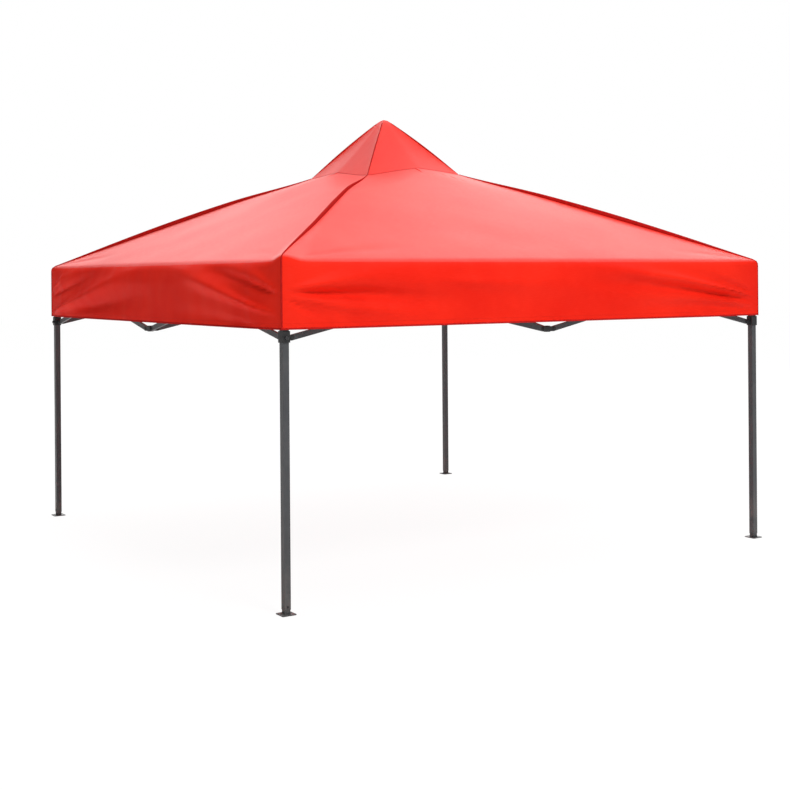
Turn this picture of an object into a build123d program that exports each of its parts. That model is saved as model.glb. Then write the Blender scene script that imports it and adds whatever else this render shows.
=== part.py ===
from build123d import *

import math
import os

# A square pop up canopy, standing on the ground with its legs at their lowest setting. Millimetres.
# Origin: on the ground under the middle of the roof. +Z is up and the front side faces -Y.

# ---- driving dimensions ----
LEG_SPACING = 2900.0  # between the leg axes, along X and along Y
LEG_SIZE = 30.0
LEG_WALL = 0.8
INNER_LEG_SIZE = 27.0
INNER_LEG_WALL = 0.8
INNER_LEG_LENGTH = 900.0
LEG_TRAVEL = 600.0
LEG_BOTTOM = 22.0  # the outer leg's lower end, above the ground
FOOT_SIZE = 68.0
FOOT_THICK = 4.0
PEG_HOLE_SPACING = 50.0
PEG_HOLE_R = 4.5

TOP_PIN_Z = 1480.0
TRUSS_DEPTH = 300.0  # from the upper pins to the lower pins when it stands open
LEG_PIN = 36.0  # from a leg's or the hub's axis to its bar pins
MID_PIN = 31.0  # from a mid-side connector's axis to its bar pins
BAR_THICK = 12.0
BAR_HEIGHT = 25.0
BAR_WALL = 0.6
BAR_LAYER = 7.0  # from a truss's middle plane to the middle of a bar
TIP_LENGTH = 30.0  # of a plastic bar tip outside the tube, from the pin
SPIGOT_LENGTH = 22.0
PIN_R = 3.0
HOLE_R = 3.05
CHEEK_THICK = 4.0
CHEEK_GAP = 0.3
HEAD_R = 6.0
HEAD_THICK = 2.0
BLOCK_HALF = 18.0  # the leg brackets and hubs
MID_BLOCK_HALF = 12.0
SLIDER_HALF = 19.0
SLIDER_BORE = 30.6
SLIDER_TALL = 50.0
BRACKET_TALL = 58.0
HUB_TALL = 34.0
HUB_DISC = 6.0
HUB_FLOOR = 4.0
MID_TALL = 30.0
CHEEK_TALL = 24.0
MID_BODY_WIDE = 21.0  # of a mid-side connector where a fork grows from it
WASHER_THICK = 1.6
CUT = 80.0  # long enough to cut right through

POLE_R = 12.5
POLE_WALL = 1.2
POLE_LENGTH = 610.0
PEAK_POLE_R = 9.5
PEAK_POLE_OVERLAP = 560.0
BUSH_LENGTH = 30.0
BUSH_THICK = 1.45
FLANGE_THICK = 3.0
CAP_R = 42.0
CAP_Z = 2298.0  # the cap's underside
CAP_RIM = 6.0
CAP_RISE = 32.0  # from the rim to the crown of the cap

COVER_HALF = 1474.0
COVER_THICK = 0.6
HEM_Z = 1215.0
EAVE_Z = 1510.0
RING_HALF = 310.0
RING_Z = 2030.0
APEX_Z = 2360.0

LOCK_PIN_R = 5.0  # the spring pin that locks a slider on its leg
LOCK_KNOB_R = 8.0
LOCK_KNOB_LENGTH = 9.0
SHORT_OF_LEG = 0.4  # how far a lock's stem stops short of the tube that it locks
SNAP_Z = 34.0  # under the slider's lowest place
SNAP_R = 4.0
SNAP_PROUD = 4.5
LOCK_HOLE_PLAY = 0.4
STRIP_THICK = 1.2  # the hook strips at the tops of the legs
STRIP_HEIGHT = 110.0
STRIP_MARGIN = 2.0

# ---- worked out from them ----
A = LEG_SPACING / 2
LOW_PIN_Z = TOP_PIN_Z - TRUSS_DEPTH
REACH = A - LEG_PIN - MID_PIN
BAR_LENGTH = math.hypot(REACH, TRUSS_DEPTH)
BAR_ANGLE = math.degrees(math.atan2(TRUSS_DEPTH, REACH))
CHEEK_OUT = BAR_LAYER + BAR_THICK / 2 + CHEEK_GAP
CHEEK_IN = BAR_LAYER - BAR_THICK / 2 - CHEEK_GAP

SIDES = ["front", "right", "back", "left"]  # each a quarter turn on from the last
HALVES = {
    "front": ("left", "right"),
    "right": ("front", "back"),
    "back": ("right", "left"),
    "left": ("back", "front"),
}
LEGS = ["front_left", "front_right", "back_right", "back_left"]


def cyl_y(radius, length):
    """A cylinder along Y, centred."""
    return Rot(90, 0, 0) * Cylinder(radius, length)


def square_tube(size, wall, length):
    """A square tube standing on z = 0."""
    base = (Align.CENTER, Align.CENTER, Align.MIN)
    inside = size - 2 * wall
    return Box(size, size, length, align=base) - Box(inside, inside, length, align=base)


def round_tube(radius, wall, length):
    base = (Align.CENTER, Align.CENTER, Align.MIN)
    return Cylinder(radius, length, align=base) - Cylinder(radius - wall, length, align=base)


# ---- bars: each lies along +X from its first pin at the origin, in the plane y = 0 ----
def bar_tip():
    """A plastic end: round about its pin hole, with a spigot that fills the tube's end."""
    nose = Rot(90, 0, 0) * Cylinder(BAR_HEIGHT / 2, BAR_THICK)
    shank = Pos(TIP_LENGTH / 2, 0, 0) * Box(TIP_LENGTH, BAR_THICK, BAR_HEIGHT)
    spigot = Pos(TIP_LENGTH + SPIGOT_LENGTH / 2, 0, 0) * Box(
        SPIGOT_LENGTH, BAR_THICK - 2 * BAR_WALL, BAR_HEIGHT - 2 * BAR_WALL
    )
    return nose + shank + spigot - cyl_y(HOLE_R, BAR_THICK * 2)


def bar_tube():
    length = BAR_LENGTH - 2 * TIP_LENGTH
    inside = Box(length, BAR_THICK - 2 * BAR_WALL, BAR_HEIGHT - 2 * BAR_WALL)
    tube = Box(length, BAR_THICK, BAR_HEIGHT) - inside
    return Pos(BAR_LENGTH / 2, 0, 0) * (tube - cyl_y(HOLE_R, BAR_THICK * 2))


def bar():
    return [bar_tube(), bar_tip(), Pos(BAR_LENGTH, 0, 0) * Rot(0, 180, 0) * bar_tip()]


def crossing_rivet(layer):
    """The rivet and washer that join two crossed bars at their middles; layer is the side of this bar."""
    shaft = cyl_y(PIN_R, 2 * (BAR_LAYER + BAR_THICK / 2) + 2 * CHEEK_GAP)
    head_y = BAR_LAYER + BAR_THICK / 2 + CHEEK_GAP + HEAD_THICK / 2
    heads = [Pos(0, s * head_y, 0) * cyl_y(HEAD_R, HEAD_THICK) for s in (1, -1)]
    washer = cyl_y(HEAD_R + 2, WASHER_THICK) - cyl_y(HOLE_R, CUT)
    at = Pos(BAR_LENGTH / 2, -layer, 0)
    return [at * (shaft + heads[0] + heads[1]), at * washer]


def placed_bar(start, layer, up, with_rivet):
    """A bar in the XZ plane from its start point, leaning up or down to the right."""
    angle = -BAR_ANGLE if up else BAR_ANGLE
    solids = bar() + (crossing_rivet(layer) if with_rivet else [])
    at = Pos(start[0], start[1] + layer, start[2]) * Rot(0, angle, 0)
    return [at * s for s in solids]


# ---- forks: two cheeks and a pin, reaching along +X from a block about the origin ----
def fork(block_half, pin_at, layer):
    """(cheeks to join to the block, the pin) for a bar that lies on the given side of the plane."""
    sign = 1 if layer > 0 else -1
    cheeks = None
    for near in (CHEEK_IN - CHEEK_THICK, CHEEK_OUT):
        y = sign * (near + CHEEK_THICK / 2)
        plate = Pos((block_half + pin_at) / 2, y, 0) * Box(
            pin_at - block_half, CHEEK_THICK, CHEEK_TALL
        )
        plate += Pos(pin_at, y, 0) * cyl_y(CHEEK_TALL / 2, CHEEK_THICK)
        cheeks = plate if cheeks is None else cheeks + plate
    cheeks -= Pos(pin_at, 0, 0) * cyl_y(HOLE_R, CUT)
    low = CHEEK_IN - CHEEK_THICK
    high = CHEEK_OUT + CHEEK_THICK
    pin = Pos(pin_at, sign * (low + high) / 2, 0) * cyl_y(PIN_R, high - low)
    for y, way in ((low, -1), (high, 1)):
        pin += Pos(pin_at, sign * (y + way * HEAD_THICK / 2), 0) * cyl_y(HEAD_R, HEAD_THICK)
    return cheeks, pin


def with_forks(block, forks):
    """A block with forks turned about Z: forks is a list of (turn, block_half, pin_at, layer)."""
    pins = []
    for turn, half, pin_at, layer in forks:
        cheeks, pin = fork(half, pin_at, layer)
        block = block + Rot(0, 0, turn) * cheeks
        pins.append(Rot(0, 0, turn) * pin)
    return [block] + pins


def leg_bracket():
    """The plastic head of a leg, at the front left leg, with forks towards +X and +Y."""
    top = 6.0  # the closed top's thickness, and how far the block sits below its pins' middle
    block = Box(2 * BLOCK_HALF, 2 * BLOCK_HALF, BRACKET_TALL)
    block -= Pos(0, 0, -top) * Box(LEG_SIZE, LEG_SIZE, BRACKET_TALL)
    block = Pos(0, 0, -top) * fillet(block.edges().group_by(Axis.Z)[-1], 3)
    forks = [(0, BLOCK_HALF, LEG_PIN, -BAR_LAYER), (90, BLOCK_HALF, LEG_PIN, BAR_LAYER)]
    solids = with_forks(block, forks)
    return [Pos(-A, -A, TOP_PIN_Z) * s for s in solids]


def slider():
    """The sleeve that runs on a leg, at the front left leg, with a hole for its lock pin."""
    block = Box(2 * SLIDER_HALF, 2 * SLIDER_HALF, SLIDER_TALL) - Box(SLIDER_BORE, SLIDER_BORE, SLIDER_TALL)
    forks = [(0, SLIDER_HALF, LEG_PIN, BAR_LAYER), (90, SLIDER_HALF, LEG_PIN, -BAR_LAYER)]
    solids = with_forks(Pos(0, 0, 5) * block, forks)
    solids[0] -= Pos(0, -SLIDER_HALF, 0) * cyl_y(LOCK_PIN_R + 0.3, 16)
    return [Pos(-A, -A, LOW_PIN_Z) * s for s in solids]


def slider_pin():
    """The spring pull pin of the front left slider: its stem stops just short of the leg."""
    stem_end = LEG_SIZE / 2 + SHORT_OF_LEG
    knob_y = SLIDER_HALF + CHEEK_GAP
    stem = Pos(0, -(stem_end + knob_y) / 2, 0) * cyl_y(LOCK_PIN_R, knob_y - stem_end)
    knob = cyl_y(LOCK_KNOB_R, LOCK_KNOB_LENGTH)
    knob = fillet(knob.edges().sort_by(Axis.Y)[0], 1.5)
    knob = Pos(0, -(knob_y + LOCK_KNOB_LENGTH / 2), 0) * knob
    return [Pos(-A, -A, LOW_PIN_Z) * (stem + knob)]


def outer_leg():
    """The front left outer leg: a square tube with hook strips on its two outside faces."""
    top = TOP_PIN_Z + 17
    tube = Pos(0, 0, LEG_BOTTOM) * square_tube(LEG_SIZE, LEG_WALL, top - LEG_BOTTOM)
    tube -= Pos(0, -LEG_SIZE / 2, SNAP_Z) * cyl_y(SNAP_R + LOCK_HOLE_PLAY, 10)
    tube -= Pos(0, -LEG_SIZE / 2, LOW_PIN_Z) * cyl_y(LOCK_PIN_R + LOCK_HOLE_PLAY, 10)
    bracket_low = TOP_PIN_Z - 6 - BRACKET_TALL / 2
    strip_z = bracket_low - STRIP_MARGIN - STRIP_HEIGHT / 2
    face = LEG_SIZE / 2 + STRIP_THICK / 2
    strips = [
        Pos(0, -face, strip_z) * Box(LEG_SIZE - 4, STRIP_THICK, STRIP_HEIGHT),
        Pos(-face, 0, strip_z) * Box(STRIP_THICK, LEG_SIZE - 4, STRIP_HEIGHT),
    ]
    return [Pos(-A, -A, 0) * s for s in [tube] + strips]


def inner_leg():
    """The front left inner leg and its foot plate, with a row of lock holes."""
    tube = Pos(0, 0, FOOT_THICK) * square_tube(INNER_LEG_SIZE, INNER_LEG_WALL, INNER_LEG_LENGTH)
    for lift in (0, LEG_TRAVEL / 4, LEG_TRAVEL / 2, LEG_TRAVEL * 3 / 4, LEG_TRAVEL):
        tube -= Pos(0, -INNER_LEG_SIZE / 2, SNAP_Z + lift) * cyl_y(SNAP_R + LOCK_HOLE_PLAY, 10)
    plate = Pos(0, 0, FOOT_THICK / 2) * Box(FOOT_SIZE, FOOT_SIZE, FOOT_THICK)
    plate = fillet(plate.edges().filter_by(Axis.Z), 6)
    for s in (1, -1):
        plate -= Pos(s * PEG_HOLE_SPACING / 2, 0, 0) * Cylinder(PEG_HOLE_R, 20)
    return [Pos(-A, -A, 0) * s for s in (tube, plate)]


def snap_button():
    """The press button that locks the front left leg's length: its stem stops short of the inner leg."""
    stem_end = INNER_LEG_SIZE / 2 + SHORT_OF_LEG
    tip = LEG_SIZE / 2 + SNAP_PROUD
    stem = Pos(0, -(stem_end + tip) / 2, 0) * cyl_y(SNAP_R, tip - stem_end)
    stem = fillet(stem.edges().sort_by(Axis.Y)[0], 1.5)
    return [Pos(-A, -A, SNAP_Z) * stem]


def mid_connector(pin_z, layer):
    """A front mid-side connector: forks along the side both ways, and one inwards."""
    block = Box(2 * MID_BLOCK_HALF, 2 * MID_BLOCK_HALF, MID_TALL)
    block = fillet(block.edges().filter_by(Axis.Z), 2)
    block += Pos(0, layer, 0) * Box(2 * MID_BLOCK_HALF, MID_BODY_WIDE, CHEEK_TALL)
    forks = [
        (0, MID_BLOCK_HALF, MID_PIN, layer),
        (180, MID_BLOCK_HALF, MID_PIN, -layer),
        (90, MID_BLOCK_HALF, MID_PIN, layer),
    ]
    block += Pos(-layer, 0, 0) * Box(MID_BODY_WIDE, 2 * MID_BLOCK_HALF, CHEEK_TALL)
    return [Pos(0, -A, pin_z) * s for s in with_forks(block, forks)]


def hub(pin_z, bore_r, layer):
    """A centre hub with four forks."""
    block = Box(2 * BLOCK_HALF, 2 * BLOCK_HALF, HUB_TALL)
    block = fillet(block.edges().filter_by(Axis.Z), 4)
    block -= Cylinder(bore_r, CUT)
    forks = [(turn, BLOCK_HALF, LEG_PIN, layer) for turn in (0, 90, 180, 270)]
    return [Pos(0, 0, pin_z) * s for s in with_forks(block, forks)]


def top_hub():
    solids = hub(TOP_PIN_Z, POLE_R + 0.5, BAR_LAYER)
    disc = Cylinder(CAP_R, HUB_DISC) - Cylinder(POLE_R + 0.5, HUB_DISC)
    disc = Pos(0, 0, TOP_PIN_Z + HUB_TALL / 2 + HUB_DISC / 2) * disc
    solids[0] += disc
    return solids


def bottom_hub():
    """The lower hub with the outer tube of the centre pole standing in it, and the tube's bush."""
    solids = hub(LOW_PIN_Z, POLE_R + 0.05, -BAR_LAYER)
    base = LOW_PIN_Z - HUB_TALL / 2
    solids[0] += Pos(0, 0, base - HUB_FLOOR / 2) * Cylinder(BLOCK_HALF, HUB_FLOOR)
    tube = Pos(0, 0, base) * round_tube(POLE_R, POLE_WALL, POLE_LENGTH)
    bush = round_tube(POLE_R - POLE_WALL - 0.05, BUSH_THICK, BUSH_LENGTH)
    flange = round_tube(POLE_R, POLE_R - PEAK_POLE_R - 0.35, FLANGE_THICK)
    bush += Pos(0, 0, BUSH_LENGTH) * flange
    return solids + [tube, Pos(0, 0, base + POLE_LENGTH - BUSH_LENGTH) * bush]


def peak_pole():
    """The inner tube of the centre pole, with the round cap that carries the peak of the cover."""
    low = LOW_PIN_Z - HUB_TALL / 2 + POLE_LENGTH - PEAK_POLE_OVERLAP
    tube = Pos(0, 0, low) * round_tube(PEAK_POLE_R, POLE_WALL, CAP_Z - low)
    dome_r = (CAP_R**2 + CAP_RISE**2) / (2 * CAP_RISE)
    dome = Pos(0, 0, CAP_RISE - dome_r) * Sphere(dome_r)
    dome &= Pos(0, 0, CAP_R) * Box(3 * CAP_R, 3 * CAP_R, 2 * CAP_R)
    rim = Pos(0, 0, CAP_RIM / 2) * Cylinder(CAP_R, CAP_RIM)
    return [tube, Pos(0, 0, CAP_Z) * (rim + Pos(0, 0, CAP_RIM) * dome)]


# ---- the cover: flat panels that meet face to face ----
def prism(corners, drop):
    """A panel: the flat polygon through the corners, swept straight down (a drop along a vector)."""
    face = Face(Wire.make_polygon([Vector(*c) for c in corners], close=True))
    return Solid.extrude(face, Vector(*drop))


def cover_side():
    """The front side's three panels."""
    e, r = COVER_HALF, RING_HALF
    down = (0, 0, -COVER_THICK)
    roof = prism([(-e, -e, EAVE_Z), (e, -e, EAVE_Z), (r, -r, RING_Z), (-r, -r, RING_Z)], down)
    crown = prism([(-r, -r, RING_Z), (r, -r, RING_Z), (0, 0, APEX_Z)], down)
    z, inside = HEM_Z, e - COVER_THICK
    valance = prism(
        [(-e, -e, z), (e, -e, z), (inside, -inside, z), (-inside, -inside, z)],
        (0, 0, EAVE_Z - COVER_THICK - z),
    )
    return [roof, crown, valance]


# ---- the whole canopy ----
def turned(solids, quarter):
    return [Rot(0, 0, 90 * quarter) * s for s in solids]


def side_nodes(quarter, side):
    """The bars and connectors of one side, built at the front and turned into place."""
    first, second = HALVES[side]
    out_x = A - LEG_PIN
    layer = BAR_LAYER
    nodes = {
        f"{side}_side_{first}_high_bar": placed_bar((-out_x, -A, TOP_PIN_Z), -layer, False, True),
        f"{side}_side_{first}_low_bar": placed_bar((-out_x, -A, LOW_PIN_Z), layer, True, False),
        f"{side}_side_{second}_high_bar": placed_bar((MID_PIN, -A, LOW_PIN_Z), -layer, True, True),
        f"{side}_side_{second}_low_bar": placed_bar((MID_PIN, -A, TOP_PIN_Z), layer, False, False),
        f"{side}_mid_top_connector": mid_connector(TOP_PIN_Z, layer),
        f"{side}_mid_bottom_connector": mid_connector(LOW_PIN_Z, -layer),
    }
    # the inner truss runs along -Y from the hub: built along +X, then turned
    nodes[f"{side}_inner_high_bar"] = turned(placed_bar((LEG_PIN, 0, TOP_PIN_Z), layer, False, True), -1)
    nodes[f"{side}_inner_low_bar"] = turned(placed_bar((LEG_PIN, 0, LOW_PIN_Z), -layer, True, False), -1)
    return {name: turned(solids, quarter) for name, solids in nodes.items()}


def build_nodes():
    nodes = {}
    for quarter, side in enumerate(SIDES):
        nodes.update(side_nodes(quarter, side))
    for quarter, leg in enumerate(LEGS):
        makers = {
            "leg_bracket": leg_bracket,
            "slider": slider,
            "slider_pin": slider_pin,
            "outer_leg": outer_leg,
            "inner_leg": inner_leg,
            "leg_snap_button": snap_button,
        }
        for name, make in makers.items():
            nodes[f"{leg}_{name}"] = turned(make(), quarter)
    nodes["top_hub"] = top_hub()
    nodes["bottom_hub"] = bottom_hub()
    nodes["peak_pole"] = peak_pole()
    nodes["cover"] = [s for quarter in range(4) for s in turned(cover_side(), quarter)]
    return nodes


def main():
    os.makedirs("parts", exist_ok=True)
    for name, solids in build_nodes().items():
        flat = [one for shape in solids for one in shape.solids()]
        export_step(Compound(children=flat), f"parts/{name}.step")


main()
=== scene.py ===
"""A square pop up canopy: red cloth cover over a grey folding frame. Metres; the front side faces -Y."""

import math

import bmesh
import bpy
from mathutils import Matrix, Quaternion, Vector, noise


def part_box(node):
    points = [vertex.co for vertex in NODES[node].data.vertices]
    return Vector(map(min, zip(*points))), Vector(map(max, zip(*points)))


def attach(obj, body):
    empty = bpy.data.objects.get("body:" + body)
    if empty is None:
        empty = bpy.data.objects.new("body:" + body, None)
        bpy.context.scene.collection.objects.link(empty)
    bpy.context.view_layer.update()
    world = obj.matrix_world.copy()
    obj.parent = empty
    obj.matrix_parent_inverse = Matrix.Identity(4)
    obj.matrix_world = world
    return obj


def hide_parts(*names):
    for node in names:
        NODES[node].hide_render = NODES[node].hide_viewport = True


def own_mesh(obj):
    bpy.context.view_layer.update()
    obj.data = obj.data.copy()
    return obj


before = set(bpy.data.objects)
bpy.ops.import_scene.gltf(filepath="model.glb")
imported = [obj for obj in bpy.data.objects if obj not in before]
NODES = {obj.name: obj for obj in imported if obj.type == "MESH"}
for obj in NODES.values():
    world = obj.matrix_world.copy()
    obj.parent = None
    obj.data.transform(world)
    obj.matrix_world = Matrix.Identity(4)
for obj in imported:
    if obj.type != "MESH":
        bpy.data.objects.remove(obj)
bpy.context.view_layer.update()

SIDES = ["front", "right", "back", "left"]  # each a quarter turn on from the last
LEGS = ["front_left", "front_right", "back_right", "back_left"]  # at each side's left end, seen from outside

# ---- the cover's measures ----
COVER_LOW, COVER_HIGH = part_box("cover")
EAVE_HALF = COVER_HIGH.x
HEM_Z = COVER_LOW.z
APEX_Z = COVER_HIGH.z - 0.012
EAVE_Z = 1.51
RING_HALF = 0.31
RING_Z = 2.03
APEX_ROUND = 0.018
ROOF_RUN = math.hypot(EAVE_HALF - RING_HALF, RING_Z - EAVE_Z)  # down the slope, crown's edge to eave
SLOPE_OUT = (EAVE_HALF - RING_HALF) / ROOF_RUN
SLOPE_DOWN = (RING_Z - EAVE_Z) / ROOF_RUN
CROWN_SLOPE = (APEX_Z - RING_Z) / (math.hypot(RING_HALF, APEX_ROUND) - APEX_ROUND)
CROWN_RUN = math.hypot(RING_HALF, APEX_Z - RING_Z)
VALANCE_DROP = EAVE_Z - HEM_Z
CLOTH_RUN = ROOF_RUN + VALANCE_DROP
GORES = 8  # cloth pieces across each side of the roof

# ---- how the cloth lies ----
EAVE_ROUND_CORNER = 0.020
EAVE_ROUND_MIDDLE = 0.038
ROOF_BILLOW = {"front": 0.014, "right": 0.030, "back": 0.030, "left": 0.008}
CREASE_TO_HIP = 8.0  # how sharply the roof's creases die out at the hips
ROOF_WRINKLE = 0.0035
# over each leg's head, with how far it reaches along the eave, up the roof and down the valance
CORNER_LIFT = {"front_left": 0.022, "front_right": 0.0, "back_right": 0.010, "back_left": 0.0}
LIFT_ALONG, LIFT_UP_ROOF, LIFT_DOWN_WALL = 0.11, 0.50, 0.07
# how far the crown's corners hang below their own height
CORNER_SAG = {"front_left": 0.034, "front_right": 0.011, "back_right": 0.014, "back_left": 0.015}
SAG_REACH = 0.40
# how far the crown's edge bows out and up between its corners
RING_BULGE = {"front": 0.020, "right": 0.014, "back": 0.014, "left": 0.004}
BULGE_OUT, BULGE_UP = 0.5, 0.87
CROWN_DIP = 0.007
FOLD_DEPTH = {"front": 1.7, "right": 1.2, "back": 1.4, "left": 1.2}
VALANCE_EASE = 0.026  # how far the slack middle of a valance stands out
VALANCE_RIPPLE = 0.0025
EASE_START = 0.1  # the valance's shape begins this share of its drop above the eave
# Each fold runs from a tight end through points (along the side from -1 to 1, down the valance from 0 to 1),
# then its height in metres, ridge above nought and valley below, and its width at the slack end.
FRONT_FOLDS = [
    ([(-1.0, 0.44), (-0.80, 0.26), (-0.50, 0.12)], 0.007, 0.040),
    ([(-1.0, 0.46), (-0.74, 0.49), (-0.30, 0.64)], -0.020, 0.040),
    ([(-1.0, 0.50), (-0.80, 0.68), (-0.45, 0.88)], 0.008, 0.034),
    ([(-1.0, 0.53), (-0.92, 0.72), (-0.82, 0.90)], -0.006, 0.020),
    ([(-0.50, 0.30), (-0.10, 0.38), (0.35, 0.50)], 0.007, 0.060),
    ([(1.0, 0.62), (0.80, 0.36), (0.50, 0.12)], -0.007, 0.030),
    ([(1.0, 0.68), (0.60, 0.34), (0.10, 0.04)], 0.016, 0.032),
    ([(1.0, 0.74), (0.60, 0.48), (-0.05, 0.24)], -0.014, 0.040),
    ([(1.0, 0.82), (0.66, 0.66), (0.20, 0.56)], 0.006, 0.034),
    ([(1.0, 0.90), (0.72, 0.80), (0.30, 0.76)], -0.007, 0.034),
]
LEFT_FOLDS = [
    ([(-1.0, 0.97), (-0.50, 0.52), (0.06, -0.06)], 0.024, 0.042),
    ([(-1.0, 0.60), (-0.70, 0.34), (-0.30, 0.02)], -0.016, 0.036),
    ([(-1.0, 0.50), (-0.84, 0.22), (-0.62, 0.05)], 0.006, 0.026),
    ([(-0.70, 0.85), (-0.15, 0.62), (0.26, 0.40)], -0.014, 0.064),
    ([(1.0, 0.80), (0.66, 0.46), (0.14, -0.04)], 0.022, 0.040),
    ([(1.0, 0.52), (0.80, 0.30), (0.42, 0.02)], -0.014, 0.026),
    ([(1.0, 0.46), (0.86, 0.20), (0.70, 0.06)], 0.006, 0.022),
    ([(0.92, 0.96), (0.55, 0.86), (0.10, 0.80)], -0.006, 0.040),
]


def mirrored(folds):
    return [([(-a, v) for a, v in points], height, width) for points, height, width in folds]


VALANCE_FOLDS = {
    "front": FRONT_FOLDS,
    "right": mirrored(LEFT_FOLDS),
    "back": mirrored(FRONT_FOLDS),
    "left": LEFT_FOLDS,
}
ROOF_CREASES = [
    ([(-0.99, 0.975), (-0.80, 0.92), (-0.52, 0.88)], -0.006, 0.050),
    ([(0.99, 0.975), (0.86, 0.93), (0.66, 0.91)], -0.004, 0.040),
]
RING_CREASE = ([(0.26, 0.03), (0.40, 0.10), (0.52, 0.18)], -0.0035, 0.012)  # under the crown, front only

# ---- tape and seams ----
TAPE_HALF_WIDTH = 0.0042
RING_TAPE_HALF_WIDTH = 0.0030
FLANGE_HALF_WIDTH = 0.0026
TAPE_RISE = 0.0012
CORNER_TAPE_RISE = 0.0018
FLANGE_FOOT, FLANGE_SINK = 0.002, 0.001
FLANGE = 0.021  # twice the height that the standing seam gains half-way down a hip
CROWN_FLANGE_SHARE = 0.3
HEM_TAPE_UP = 0.004


def smooth(x):
    x = min(1.0, max(0.0, x))
    return x * x * (3 - 2 * x)


def soft_corner(x, radius):
    """Nought before a corner and x after it, with the change spread over the radius."""
    if x <= -radius:
        return 0.0
    if x >= radius:
        return x
    return (x + radius) ** 2 / (4 * radius)


def fold_height(folds, a, v, wide, tall):
    """What the folds add at a place on a panel of that half width and height."""
    x, y, total = a * wide, v * tall, 0.0
    for points, height, width in folds:
        ends = [(px * wide, py * tall) for px, py in points]
        lengths = [math.dist(p, q) for p, q in zip(ends, ends[1:])]
        whole, before, best = sum(lengths), 0.0, None
        for (p, q), length in zip(zip(ends, ends[1:]), lengths):
            t = ((x - p[0]) * (q[0] - p[0]) + (y - p[1]) * (q[1] - p[1])) / length**2
            t = min(1.0, max(0.0, t))
            away = math.hypot(x - p[0] - t * (q[0] - p[0]), y - p[1] - t * (q[1] - p[1]))
            if best is None or away < best[0]:
                best = (away, (before + t * length) / whole)
            before += length
        away, along = best
        spread = width * (0.30 + 0.70 * smooth(along * 1.4))
        envelope = smooth(along / 0.22) * (1 - smooth((along - 0.45) / 0.55))
        total += height * envelope * math.exp(-((away / spread) ** 2))
    return total


def turned(point, side):
    """A point of the front side, turned to the side it is wanted on."""
    for _ in range(SIDES.index(side)):
        point = Vector((-point.y, point.x, point.z))
    return point


def corner_of(side, a):
    """The leg at the end of a side that a place is nearer to."""
    return LEGS[(SIDES.index(side) + (1 if a > 0 else 0)) % 4]


def side_point(side, a, s):
    """A point on a side's cloth: a from -1 to 1 along the side, s metres down the cloth from the crown."""
    edge = 1 - a * a
    radius = EAVE_ROUND_CORNER + (EAVE_ROUND_MIDDLE - EAVE_ROUND_CORNER) * (1 - abs(a) ** 6)
    drop = soft_corner(s - ROOF_RUN, radius)
    run = s - ROOF_RUN - drop
    out = EAVE_HALF + run * SLOPE_OUT
    up = EAVE_Z - run * SLOPE_DOWN - drop
    along = a * out
    down = min(1.0, max(0.0, s / ROOF_RUN))
    lift_reach = LIFT_UP_ROOF if s < ROOF_RUN else LIFT_DOWN_WALL
    from_corner = math.hypot((1 - abs(a)) * EAVE_HALF / LIFT_ALONG, (s - ROOF_RUN) / lift_reach)
    up += CORNER_LIFT[corner_of(side, a)] * (1 - smooth(from_corner))
    from_ring = math.hypot((1 - abs(a)) * max(out, RING_HALF), s)
    up -= CORNER_SAG[corner_of(side, a)] * (1 - smooth(from_ring / SAG_REACH))
    bulge = RING_BULGE[side] * edge * (1 - down) ** 2
    out += bulge * BULGE_OUT
    up += bulge * BULGE_UP
    if s < ROOF_RUN:
        lift = ROOF_BILLOW[side] * edge * math.sin(math.pi * down) ** 0.9 if 0 < down < 1 else 0.0
        rim = smooth(down * 14) * smooth((1 - down) * 9)
        wrinkle = noise.noise(Vector((along * 3.1, s * 3.1, SIDES.index(side) * 7.0)))
        lift += rim * edge * ROOF_WRINKLE * wrinkle
        creases = ROOF_CREASES + [RING_CREASE] if side == "front" else ROOF_CREASES
        lift += rim * fold_height(creases, a, down, EAVE_HALF, ROOF_RUN) * min(1.0, edge * CREASE_TO_HIP)
        out += lift * SLOPE_DOWN
        up += lift * SLOPE_OUT
    depth = (s - ROOF_RUN) / VALANCE_DROP
    if depth > -EASE_START:
        slack = smooth((1 - abs(a)) * 9)
        share = smooth((depth + EASE_START) * 4)
        ease = VALANCE_EASE * min(1.0, (1 - abs(a)) * 6) * smooth((depth + EASE_START) * 2.2)
        folds = FOLD_DEPTH[side] * fold_height(VALANCE_FOLDS[side], a, depth, EAVE_HALF, VALANCE_DROP)
        ripple = VALANCE_RIPPLE * noise.noise(Vector((along * 9.0, s * 7.0, 3.0 + SIDES.index(side))))
        tight = min(1.0, (1 - abs(a)) * 22)
        out += ease + share * (folds * tight + ripple * slack)
    return turned(Vector((along, -out, up)), side)


def crown_point(side, a, c):
    """A point on the crown: a from -1 to 1 along a side, c from the peak at 0 to the crown's edge at 1."""
    reach = RING_HALF * c
    up = APEX_Z - CROWN_SLOPE * (math.hypot(reach, APEX_ROUND) - APEX_ROUND)
    bulge = RING_BULGE[side] * (1 - a * a) * c * c
    dip = CROWN_DIP * (1 - a * a) * math.sin(math.pi * c)
    out = reach + bulge * BULGE_OUT - dip * 0.7
    from_ring = (1 - abs(a)) * RING_HALF
    up -= CORNER_SAG[corner_of(side, a)] * (1 - smooth(from_ring / SAG_REACH)) * c
    return turned(Vector((a * reach, -out, up + bulge * BULGE_UP - dip * 0.7)), side)


def facing(place, a, b, step_a, step_b):
    """The outward normal of a surface at a place on it, by small steps each way."""
    here = place(a, b)
    return (place(a + step_a, b) - here).cross(here - place(a, b + step_b)).normalized()


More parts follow.
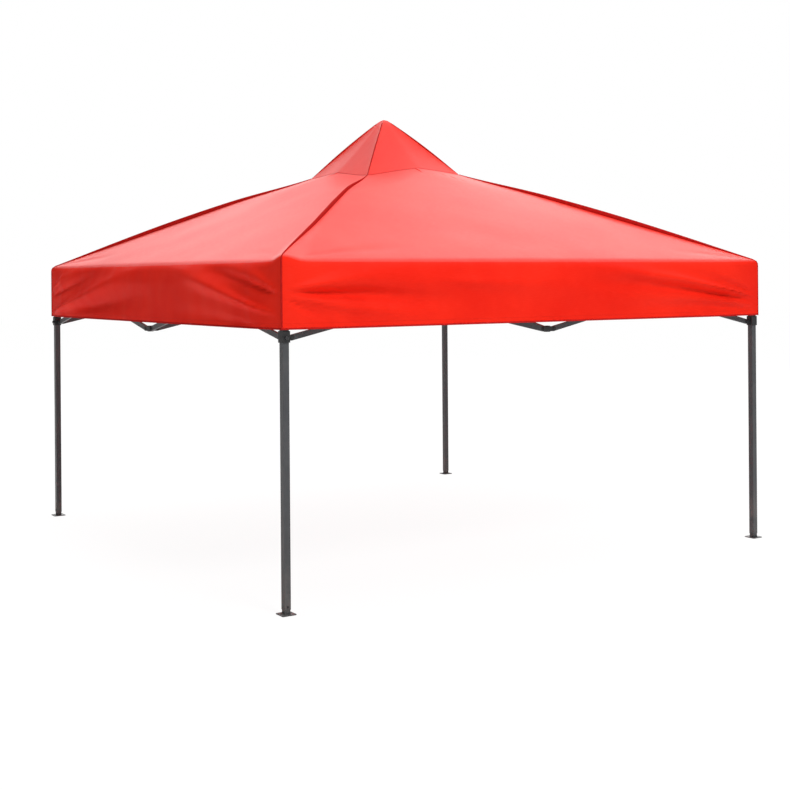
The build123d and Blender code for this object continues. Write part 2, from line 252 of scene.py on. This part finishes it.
# ---- finishes ----
class Wire:
    """One output of a material's node, so that a sum on it is written as a sum."""

    def __init__(self, socket):
        self.socket = socket

    def math(self, operation, *others):
        values = dict(enumerate((self,) + others))
        return new_node(self.socket.node.id_data, "Math", {"operation": operation}, values)

    def __add__(self, other):
        return self.math("ADD", other)

    def __sub__(self, other):
        return self.math("SUBTRACT", other)

    def __mul__(self, other):
        return self.math("MULTIPLY", other)

    def __rsub__(self, other):
        return self * -1.0 + other

    __radd__ = __add__
    __rmul__ = __mul__

    def ramp(self, low, high, to_low=0.0, to_high=1.0):
        """The value's smooth climb from one range to another."""
        values = {"Value": self, "From Min": low, "From Max": high, "To Min": to_low, "To Max": to_high}
        return new_node(self.socket.node.id_data, "MapRange", {"interpolation_type": "SMOOTHSTEP"}, values)

    def near(self, place, reach):
        """One where the value is at the place, and nought further off than the reach."""
        return (self - place).math("ABSOLUTE").ramp(0.0, reach, 1.0, 0.0)


def new_node(tree, kind, settings, values, out=0):
    """Any node, from its type, its settings and the values or links of its sockets."""
    node = tree.nodes.new("ShaderNode" + kind)
    for name, value in settings.items():
        setattr(node, name, value)
    for key, value in values.items():
        if isinstance(value, Wire):
            tree.links.new(value.socket, node.inputs[key])
        else:
            node.inputs[key].default_value = value
    return Wire(node.outputs[out])


class Finish:
    """A material and the nodes that it is mixed from."""

    def __init__(self, name, **shader):
        self.material = bpy.data.materials.new(name)
        self.material.use_nodes = True
        self.tree = self.material.node_tree
        self.shader = self.tree.nodes["Principled BSDF"]
        for key, value in shader.items():
            self.shader.inputs[key.replace("_", " ")].default_value = value

    def node(self, kind, settings=None, out=0, **values):
        values = {key.replace("_", " "): value for key, value in values.items()}
        return new_node(self.tree, kind, settings or {}, values, out)

    def object_place(self):
        """Where on the object, in its own metres."""
        return self.node("TexCoord", out=3)

    def cloth_place(self):
        """Where on the flat cloth, in metres, from the UV map."""
        return self.node("TexCoord", out=2)

    def axes(self, place):
        tree = self.tree
        split = tree.nodes.new("ShaderNodeSeparateXYZ")
        tree.links.new(place.socket, split.inputs[0])
        return [Wire(split.outputs[i]) for i in range(3)]

    def noise(self, place, scale, detail=3.0, roughness=0.5):
        return self.node("TexNoise", Vector=place, Scale=scale, Detail=detail, Roughness=roughness)

    def mix(self, factor, first, second):
        tree = self.tree
        node = tree.nodes.new("ShaderNodeMix")
        node.data_type = "RGBA"
        for index, value in ((0, factor), (6, first), (7, second)):
            if isinstance(value, Wire):
                tree.links.new(value.socket, node.inputs[index])
            elif index == 0:
                node.inputs[0].default_value = value
            else:
                node.inputs[index].default_value = (*value, 1.0)
        return Wire(node.outputs[2])

    def bump(self, height, distance, strength=1.0, normal=None):
        values = {"Height": height, "Distance": distance, "Strength": strength}
        if normal:
            values["Normal"] = normal
        return self.node("Bump", **values)

    def join(self, **inputs):
        for key, wire in inputs.items():
            self.tree.links.new(wire.socket, self.shader.inputs[key.replace("_", " ")])
        return self


CLOTH_RED = (0.82, 0.022, 0.009)
CLOTH_DEEP = (0.74, 0.015, 0.006)
THREAD_RED = (0.30, 0.008, 0.006)
SLUB_RED = (0.90, 0.06, 0.05)
WEAVE_PITCH = 0.0011
HEM_STITCH_PITCH, HEM_STITCH_UP = 0.0045, 0.026
JOIN_DOWN_ROOF = 0.31  # where the roof's cloth is joined, as a share of its slope
LIGHT_THROUGH = 0.08
TAPE_RIB_PITCH, TAPE_STITCH_PITCH = 0.0016, 0.005


def cloth_finish(name, specular, sheen):
    """Coated plain-weave cloth: threads, faint slubs, stitched hem line, and light through it."""
    cloth = Finish(
        name, Roughness=0.48, Specular_IOR_Level=specular, Sheen_Weight=sheen, Sheen_Roughness=0.35,
        Sheen_Tint=(1.0, 0.88, 0.88, 1.0),
    )
    flat, solid = cloth.cloth_place(), cloth.object_place()
    u, v, _ = cloth.axes(flat)
    turn = 2 * math.pi / WEAVE_PITCH
    threads = (u * turn).math("SINE") * (v * turn).math("SINE")
    slubs = cloth.noise(cloth.node("Mapping", Vector=flat, Scale=(24.0, 340.0, 1.0)), 1.0, 2.0)
    cloudy = cloth.noise(solid, 2.2, 4.0, 0.6)
    puckers = cloth.noise(solid, 14.0, 2.0)
    dashes = (u * (2 * math.pi / HEM_STITCH_PITCH)).math("SINE").ramp(-0.3, 0.1)
    hem_stitch = v.near(CLOTH_RUN - HEM_STITCH_UP, 0.0012) * dashes
    join_line = v.near(JOIN_DOWN_ROOF * ROOF_RUN, 0.0022)
    colour = cloth.mix(cloudy.ramp(0.35, 0.70), CLOTH_RED, CLOTH_DEEP)
    colour = cloth.mix(slubs.ramp(0.45, 0.75) * 0.10, colour, SLUB_RED)
    colour = cloth.mix(join_line * 0.35 + hem_stitch * 0.55, colour, THREAD_RED)
    cover = cloth.bump(threads, 0.00006, 0.45)
    cover = cloth.bump(puckers, 0.0012, 0.4, cover)
    cover = cloth.bump(join_line * -1.0 - hem_stitch, 0.0008, 0.6, cover)
    rough = slubs.ramp(0.2, 0.8, 0.43, 0.52) + (cloudy - 0.5) * 0.08
    cloth.join(Base_Color=colour, Normal=cover, Roughness=rough)
    through = cloth.tree.nodes.new("ShaderNodeBsdfTranslucent")
    cloth.tree.links.new(colour.socket, through.inputs["Color"])
    blend = cloth.tree.nodes.new("ShaderNodeMixShader")
    blend.inputs[0].default_value = LIGHT_THROUGH
    output = cloth.tree.nodes["Material Output"]
    cloth.tree.links.new(cloth.shader.outputs[0], blend.inputs[1])
    cloth.tree.links.new(through.outputs[0], blend.inputs[2])
    cloth.tree.links.new(blend.outputs[0], output.inputs["Surface"])
    return cloth.material


def binding_and_painted_shade_finish():
    """The ribbed tape that covers the seams and edges: its darker red is partly the tape's own colour and
    partly painted shade along the seams and the hem.
    """
    tape = Finish("seam_binding_painted_shade", Roughness=0.85, Specular_IOR_Level=0.05)
    u, v, _ = tape.axes(tape.cloth_place())
    ribs = (u * (2 * math.pi / TAPE_RIB_PITCH)).math("SINE")
    rows = v.near(0.30, 0.06).math("MAXIMUM", v.near(0.70, 0.06))
    stitches = rows * (u * (2 * math.pi / TAPE_STITCH_PITCH)).math("SINE").ramp(-0.3, 0.1)
    worn = tape.noise(tape.object_place(), 60.0)
    # the two darker reds are partly the tape's own colour and partly painted shade along the seams and the
    # hem edge
    colour = tape.mix(worn.ramp(0.3, 0.7), (0.48, 0.012, 0.010), (0.40, 0.010, 0.008))
    colour = tape.mix(stitches * 0.6, colour, (0.16, 0.006, 0.006))
    return tape.join(Base_Color=colour, Normal=tape.bump(ribs * 0.5 - stitches, 0.0003, 0.6)).material


def steel_finish():
    """Dark grey powder coat: orange peel, soft mottling, rubbed streaks along the tubes, dust low down."""
    steel = Finish("powder_coat", Metallic=0.0, Specular_IOR_Level=0.5)
    place = steel.object_place()
    peel = steel.noise(place, 900.0, 2.0)
    mottle = steel.noise(place, 9.0, 5.0, 0.65)
    rubbed = steel.noise(steel.node("Mapping", Vector=place, Scale=(260.0, 260.0, 5.0)), 1.0, 3.0)
    _, _, height = steel.axes(place)
    dust = height.ramp(0.0, 0.35, 1.0, 0.0) * mottle.ramp(0.35, 0.7)
    colour = steel.mix(mottle.ramp(0.3, 0.75), (0.040, 0.042, 0.046), (0.056, 0.058, 0.062))
    colour = steel.mix(rubbed.ramp(0.62, 0.78) * 0.35, colour, (0.12, 0.12, 0.125))
    colour = steel.mix(dust * 0.35, colour, (0.22, 0.20, 0.18))
    rough = mottle.ramp(0.2, 0.8, 0.36, 0.50) + dust * 0.2
    return steel.join(Base_Color=colour, Roughness=rough, Normal=steel.bump(peel, 0.0001, 0.5)).material


def nylon_finish():
    """Black moulded nylon with a spark-eroded grain."""
    nylon = Finish("moulded_nylon", Specular_IOR_Level=0.45)
    place = nylon.object_place()
    grain = nylon.noise(place, 1400.0, 2.0)
    scuffs = nylon.noise(place, 45.0, 6.0, 0.7)
    colour = nylon.mix(scuffs.ramp(0.55, 0.8) * 0.6, (0.012, 0.012, 0.013), (0.045, 0.045, 0.047))
    rough = scuffs.ramp(0.2, 0.8, 0.42, 0.60)
    return nylon.join(Base_Color=colour, Roughness=rough, Normal=nylon.bump(grain, 0.00012, 0.6)).material


def button_finish():
    """Smoother dark plastic with moulding swirls."""
    knob = Finish("knob_plastic", Specular_IOR_Level=0.5)
    place = knob.object_place()
    swirl = knob.noise(place, 90.0, 4.0)
    colour = knob.mix(swirl.ramp(0.3, 0.7), (0.022, 0.022, 0.024), (0.034, 0.034, 0.037))
    rough = swirl.ramp(0.2, 0.8, 0.26, 0.38)
    return knob.join(Base_Color=colour, Roughness=rough, Normal=knob.bump(swirl, 0.0001, 0.4)).material


def rivet_finish():
    """Bright zinc plate on rivets and pins."""
    rivet = Finish("zinc_rivet")
    place = rivet.object_place()
    crystals = rivet.noise(place, 420.0, 3.0)
    stains = rivet.noise(place, 60.0, 4.0)
    colour = rivet.mix(crystals.ramp(0.3, 0.7), (0.56, 0.57, 0.58), (0.68, 0.69, 0.70))
    colour = rivet.mix(stains.ramp(0.6, 0.85) * 0.5, colour, (0.30, 0.28, 0.25))
    metal, rough = stains.ramp(0.5, 0.9, 0.95, 0.7), crystals.ramp(0.2, 0.8, 0.26, 0.42)
    cover = rivet.bump(crystals, 0.00008, 0.5)
    return rivet.join(Base_Color=colour, Metallic=metal, Roughness=rough, Normal=cover).material


def hook_finish():
    """Black hook tape: a field of small hooks on a woven ground."""
    hook = Finish("hook_tape", Roughness=0.92, Sheen_Weight=0.5, Sheen_Roughness=0.4)
    place = hook.object_place()
    tufts = hook.node("TexVoronoi", Vector=place, Scale=620.0)
    matted = hook.noise(place, 70.0, 3.0)
    # lighter on the raised tufts and darker in the low ground between them: painted shade
    colour = hook.mix(tufts.ramp(0.0, 0.5), (0.030, 0.030, 0.032), (0.008, 0.008, 0.009))
    colour = hook.mix(matted.ramp(0.5, 0.8) * 0.4, colour, (0.05, 0.05, 0.052))
    return hook.join(Base_Color=colour, Normal=hook.bump(tufts * -1.0, 0.0007, 0.8)).material


CLOTH = cloth_finish("cover_cloth", 0.24, 0.08)  # the stretched roof
WALL_CLOTH = cloth_finish("valance_cloth", 0.03, 0.01)  # the slack valance
BINDING_AND_PAINTED_SHADE, STEEL, NYLON = binding_and_painted_shade_finish(), steel_finish(), nylon_finish()
KNOB, RIVET, HOOK = button_finish(), rivet_finish(), hook_finish()


# ---- frame parts: each solid of a node gets its own finish ----
TUBE_LONGER_THAN = 0.3
WASHER_THINNER_THAN = 0.003
PIN_SHORTER_THAN = 0.034
PIN_NARROWER_THAN = 0.0145
HOOK_SHORTER_THAN = 0.2


def solids_of(mesh):
    """The node's separate solids: for each, its polygons and its size."""
    place_of, parent = {}, []

    def root(i):
        while parent[i] != i:
            parent[i] = parent[parent[i]]
            i = parent[i]
        return i

    key_of = []
    for vert in mesh.vertices:
        key = (round(vert.co.x, 5), round(vert.co.y, 5), round(vert.co.z, 5))
        if key not in place_of:
            place_of[key] = len(parent)
            parent.append(len(parent))
        key_of.append(place_of[key])
    for face in mesh.polygons:
        first = root(key_of[face.vertices[0]])
        for other in face.vertices[1:]:
            parent[root(key_of[other])] = first
    found = {}
    for face in mesh.polygons:
        found.setdefault(root(key_of[face.vertices[0]]), []).append(face)
    result = []
    for faces in found.values():
        points = [mesh.vertices[i].co for face in faces for i in face.vertices]
        low = Vector([min(p[axis] for p in points) for axis in range(3)])
        high = Vector([max(p[axis] for p in points) for axis in range(3)])
        result.append((faces, high - low))
    return result


def finish_of(name, size):
    """Which finish a solid of a node has, by the node and the solid's size."""
    smallest, middle, longest = sorted(size)
    is_pin = longest < PIN_SHORTER_THAN and middle < PIN_NARROWER_THAN
    if name.endswith("_bar"):
        if longest > TUBE_LONGER_THAN:
            return STEEL
        return RIVET if is_pin and smallest >= WASHER_THINNER_THAN else NYLON
    if name.endswith("outer_leg"):
        return HOOK if longest < HOOK_SHORTER_THAN else STEEL
    if name.endswith("inner_leg"):
        return STEEL
    if name.endswith(("slider_pin", "snap_button")):
        return KNOB
    if name in ("peak_pole", "bottom_hub") and longest > TUBE_LONGER_THAN:
        return STEEL
    return RIVET if is_pin else NYLON


for node_name, node in NODES.items():
    if node_name == "cover":
        continue
    used = []
    for faces, size in solids_of(node.data):
        finish = finish_of(node_name, size)
        if finish not in used:
            used.append(finish)
        for face in faces:
            face.material_index = used.index(finish)
    node.data.materials.clear()
    for finish in used:
        node.data.materials.append(finish)


# ---- cloth pieces ----
def cloth_piece(name, columns, rows, place, normal, flat_place, finish=CLOTH):
    """A piece of cloth of columns by rows. u runs to the right and v up, from 0 to 1, seen from outside."""
    bm = bmesh.new()
    bmesh.ops.create_grid(bm, x_segments=columns, y_segments=rows, size=0.5)
    layer = bm.loops.layers.uv.new("UVMap")
    grid = {vert: (vert.co.x + 0.5, vert.co.y + 0.5) for vert in bm.verts}
    for face in bm.faces:
        face.smooth = True
        for loop in face.loops:
            loop[layer].uv = flat_place(*grid[loop.vert])
    normals = []
    for vert in bm.verts:
        u, v = grid[vert]
        vert.co = place(u, v)
        normals.append(normal(u, v))
    mesh = bpy.data.meshes.new(name)
    bm.to_mesh(mesh)
    bm.free()
    mesh.normals_split_custom_set_from_vertices(normals)
    return shown(name, mesh, finish)


def shown(name, mesh, finish):
    """The mesh as a piece of the canopy's cover."""
    piece = bpy.data.objects.new(name, mesh)
    bpy.context.scene.collection.objects.link(piece)
    mesh.materials.append(finish)
    return piece


def add_strip(bm, path, steps, half_width, rise, around=10):
    """A closed flat-oval strip along a path, which gives its middle, crosswise and outward directions.

    The rise is a height, or a function of the way along.
    """
    start = set(bm.verts)
    layer = bm.loops.layers.uv.verify()
    bmesh.ops.create_grid(bm, x_segments=steps, y_segments=around, size=0.5)
    mine = [vert for vert in bm.verts if vert not in start]
    grid = {vert: (vert.co.x + 0.5, vert.co.y + 0.5) for vert in mine}
    length = sum((path((i + 1) / steps)[0] - path(i / steps)[0]).length for i in range(steps))
    for face in {face for vert in mine for face in vert.link_faces}:
        face.smooth = True
        for loop in face.loops:
            u, v = grid[loop.vert]
            loop[layer].uv = (u * length, (v * 2) % 1.0)
    for vert in mine:
        t, v = grid[vert]
        middle, across, outward = path(t)
        angle = 2 * math.pi * v
        reach = math.copysign(abs(math.cos(angle)) ** 0.6, math.cos(angle))
        tall = rise(t) if callable(rise) else rise
        vert.co = middle + across * (half_width * reach) + outward * (tall * math.sin(angle))
    bmesh.ops.remove_doubles(bm, verts=mine, dist=1e-6)
    alive = [vert for vert in bm.verts if vert not in start]
    rims = [edge for vert in alive for edge in vert.link_edges if edge.is_boundary]
    bmesh.ops.holes_fill(bm, edges=list(set(rims)), sides=0)
    mine_faces = {face for vert in alive for face in vert.link_faces}
    bmesh.ops.recalc_face_normals(bm, faces=list(mine_faces))


def strip_piece(name, strips):
    """One object of several strips, each (path, steps, half width, rise)."""
    bm = bmesh.new()
    for path, steps, half_width, rise in strips:
        add_strip(bm, path, steps, half_width, rise)
    mesh = bpy.data.meshes.new(name)
    bm.to_mesh(mesh)
    bm.free()
    return shown(name, mesh, BINDING_AND_PAINTED_SHADE)


def hip_path(s_from, s_to, side, place):
    """Along the right-hand hip of a side: middle, crosswise and outward directions."""

    def path(t):
        s = s_from + (s_to - s_from) * t
        here = place(side, 1.0, s)
        ahead = (place(side, 1.0, s + 0.002) - place(side, 1.0, s - 0.002)).normalized()
        outward = turned(Vector((1.0, -1.0, 0.0)).normalized(), side)
        across = ahead.cross(outward).normalized()
        return here, across, across.cross(ahead).normalized()

    return path


def flange_path(path, tall):
    """The same path lifted so that a strip of that height stands on it."""

    def lifted(t):
        middle, across, outward = path(t)
        return middle + outward * (tall(t) - FLANGE_SINK), across, outward

    return lifted


def flange_height(t):
    """How high the standing seam is, from nearly flat at a hip's ends to its full height half-way."""
    return FLANGE_FOOT + FLANGE / 2 * math.sin(math.pi * t) ** 1.2 if 0 < t < 1 else FLANGE_FOOT


def crown_flange_height(t):
    return CROWN_FLANGE_SHARE * flange_height(t)


def side_path(side, s, a_from, a_to):
    """Along a side at one distance down the cloth."""

    def path(t):
        a = a_from + (a_to - a_from) * t
        ahead = (side_point(side, a + 0.002, s) - side_point(side, a - 0.002, s)).normalized()
        downward = (side_point(side, a, s + 0.003) - side_point(side, a, s - 0.003)).normalized()
        return side_point(side, a, s), downward, downward.cross(ahead).normalized()

    return path


CROWN_CLOTH_START = -1.0  # where the crown's cloth begins on the flat cloth, clear of the hem and the join
PEAK_LEFT_SMOOTH = 0.03  # the crown's hips are sharp outside this

# the crown: four faces that meet at the peak, one piece of cloth
bm = bmesh.new()
layer = bm.loops.layers.uv.new("UVMap")
for side in SIDES:
    start = set(bm.verts)
    bmesh.ops.create_grid(bm, x_segments=20, y_segments=20, size=0.5)
    mine = [vert for vert in bm.verts if vert not in start]
    grid = {vert: (vert.co.x * 2, 0.5 - vert.co.y) for vert in mine}
    for face in {face for vert in mine for face in vert.link_faces}:
        face.smooth = True
        for loop in face.loops:
            a, c = grid[loop.vert]
            loop[layer].uv = (a * c * RING_HALF, CROWN_CLOTH_START + c * CROWN_RUN)
    for vert in mine:
        vert.co = crown_point(side, *grid[vert])
bmesh.ops.remove_doubles(bm, verts=bm.verts, dist=1e-5)
for edge in bm.edges:
    middle = (edge.verts[0].co + edge.verts[1].co) / 2
    on_hip = all(abs(abs(vert.co.x) - abs(vert.co.y)) < 1e-5 for vert in edge.verts)
    edge.smooth = not (on_hip and abs(middle.x) > PEAK_LEFT_SMOOTH)
crown_mesh = bpy.data.meshes.new("crown_cloth")
bm.to_mesh(crown_mesh)
bm.free()
crown = shown("crown_cloth", crown_mesh, CLOTH)
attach(crown, "peak")
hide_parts("cover")
crown_strips = []
for side in SIDES:
    crown_hip = flange_path(hip_path(0.10, 1.0, side, crown_point), crown_flange_height)
    crown_strips.append((crown_hip, 30, FLANGE_HALF_WIDTH, crown_flange_height))
for side in SIDES:
    crown_strips.append((side_path(side, 0.0, -1.0, 1.0), 24, RING_TAPE_HALF_WIDTH, TAPE_RISE))
crown_trim = strip_piece("crown_seams", crown_strips)
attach(crown_trim, "peak")

for quarter, side in enumerate(SIDES):
    # the roof in gores, each carried by the peak
    hip = flange_path(hip_path(0.0, ROOF_RUN, side, side_point), flange_height)
    hip_strip = strip_piece(f"{side}_hip_seam", [(hip, 60, FLANGE_HALF_WIDTH, flange_height)])
    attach(hip_strip, "peak")
    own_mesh(hip_strip)
    for gore in range(GORES):
        a_left = -1 + 2 * gore / GORES
        a_right = a_left + 2 / GORES

        def spot(u, v, left=a_left, right=a_right):
            return left + (right - left) * u, ROOF_RUN * (1 - v**1.5)

        piece = cloth_piece(
            f"{side}_roof_gore_{gore + 1}",
            12,
            44,
            lambda u, v: side_point(side, *spot(u, v)),
            lambda u, v: facing(lambda a, s: side_point(side, a, s), *spot(u, v), 4e-4, 4e-4),
            lambda u, v: (spot(u, v)[0] * EAVE_HALF, spot(u, v)[1]),
        )
        middle = (a_left + a_right) / 2
        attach(piece, "peak")
        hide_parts("cover")
        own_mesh(piece)

    # the valance in halves, each on its own leg
    for end, leg in ((-1, LEGS[quarter]), (1, LEGS[(quarter + 1) % 4])):

        def spot(u, v, end=end):
            a = u - 1 if end < 0 else u
            return a, ROOF_RUN + VALANCE_DROP * (1 - v) ** 1.25

        half = "left" if end < 0 else "right"
        piece = cloth_piece(
            f"{side}_valance_{half}",
            110,
            26,
            lambda u, v: side_point(side, *spot(u, v)),
            lambda u, v: facing(lambda a, s: side_point(side, a, s), *spot(u, v), 4e-4, 4e-4),
            lambda u, v: (spot(u, v)[0] * EAVE_HALF, spot(u, v)[1]),
            WALL_CLOTH,
        )
        ends = (end, 0.0) if end < 0 else (0.0, end)
        hem_line = side_path(side, CLOTH_RUN - HEM_TAPE_UP, *ends)
        hem = strip_piece(f"{side}_hem_{half}", [(hem_line, 100, TAPE_HALF_WIDTH, TAPE_RISE)])
        for part in (piece, hem):
            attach(part, f"{leg}_leg")
            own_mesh(part)
        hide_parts("cover")
        if end > 0:
            corner_line = hip_path(ROOF_RUN, CLOTH_RUN, side, side_point)
            corner_strip = strip_piece(
                f"{leg}_corner_seam", [(corner_line, 24, TAPE_HALF_WIDTH, CORNER_TAPE_RISE)]
            )
            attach(corner_strip, f"{leg}_leg")


# ---- stage, light and camera ----
FLOOR_GLOW = 1.02
GLOW_SEEN, GLOW_CAST = 0.80, 0.12
FLOOR_HALF = 40.0


def stage_finish():
    """A white floor that shows to the camera as almost pure white, with a trace of the contact shadows."""
    floor = Finish("studio_floor", Roughness=0.9, Specular_IOR_Level=0.1)
    tone = floor.noise(floor.object_place(), 0.6, 3.0)
    floor.join(Base_Color=floor.mix(tone, (0.86, 0.86, 0.86), (0.88, 0.88, 0.88)))
    glow = floor.tree.nodes.new("ShaderNodeEmission")
    glow.inputs["Strength"].default_value = FLOOR_GLOW
    seen_share = floor.node("LightPath") * GLOW_SEEN + GLOW_CAST
    blend = floor.tree.nodes.new("ShaderNodeMixShader")
    output = floor.tree.nodes["Material Output"]
    floor.tree.links.new(seen_share.socket, blend.inputs[0])
    floor.tree.links.new(floor.shader.outputs[0], blend.inputs[1])
    floor.tree.links.new(glow.outputs[0], blend.inputs[2])
    floor.tree.links.new(blend.outputs[0], output.inputs["Surface"])
    return floor.material


bm = bmesh.new()
bmesh.ops.create_grid(bm, x_segments=2, y_segments=2, size=FLOOR_HALF)
floor_mesh = bpy.data.meshes.new("floor")
bm.to_mesh(floor_mesh)
bm.free()
floor_mesh.materials.append(stage_finish())
floor = bpy.data.objects.new("floor", floor_mesh)
bpy.context.scene.collection.objects.link(floor)

bpy.context.scene.view_settings.view_transform = "Standard"
BACKDROP_WHITE, FILL_LIGHT = 1.0, 0.22
world = bpy.data.worlds.new("studio")
bpy.context.scene.world = world
world.use_nodes = True
sky = world.node_tree
backdrop = sky.nodes["Background"]
backdrop.inputs["Color"].default_value = (1.0, 1.0, 1.0, 1.0)
seen = new_node(sky, "LightPath", {}, {})
sky.links.new((seen * (BACKDROP_WHITE - FILL_LIGHT) + FILL_LIGHT).socket, backdrop.inputs["Strength"])


def area_light(name, place, target, size, power):
    data = bpy.data.lights.new(name, "AREA")
    data.shape = "DISK"
    data.size = size
    data.energy = power
    lamp = bpy.data.objects.new(name, data)
    bpy.context.scene.collection.objects.link(lamp)
    lamp.location = place
    lamp.rotation_euler = (Vector(target) - Vector(place)).to_track_quat("-Z", "Y").to_euler()


area_light("key", (-1.0, -7.0, 7.2), (0.0, 0.0, 1.3), 2.6, 540.0)
area_light("back_left", (2.2, 9.5, 3.9), (0.0, 0.0, 1.6), 6.0, 200.0)
area_light("back_right", (10.0, 6.5, 7.2), (0.0, 0.0, 1.6), 8.0, 490.0)
area_light("back_high", (0.6, 9.5, 8.2), (0.0, 0.0, 1.9), 4.0, 105.0)
overhead = bpy.data.lights.new("overhead", "SUN")
overhead.energy = 2.2
overhead.angle = math.radians(70)
overhead_lamp = bpy.data.objects.new("overhead", overhead)
bpy.context.scene.collection.objects.link(overhead_lamp)
overhead_lamp.rotation_euler = Vector((-0.30, -0.30, -1.0)).to_track_quat("-Z", "Y").to_euler()

CAMERA_PLACE = Vector((-4.138, -6.416, 1.432))
CAMERA_YAW, CAMERA_ROLL = math.radians(33.25), math.radians(-0.43)
lens = bpy.data.cameras.new("camera")
lens.lens = 60.1
lens.shift_y = -0.148  # a level camera, so that the legs stand parallel
lens.sensor_width = 36.0
camera = bpy.data.objects.new("camera", lens)
bpy.context.scene.collection.objects.link(camera)
camera.location = CAMERA_PLACE
ahead = Vector((math.sin(CAMERA_YAW), math.cos(CAMERA_YAW), 0.0))
camera.rotation_mode = "QUATERNION"
camera.rotation_quaternion = ahead.to_track_quat("-Z", "Y") @ Quaternion((0.0, 0.0, 1.0), CAMERA_ROLL)
bpy.context.scene.camera = camera
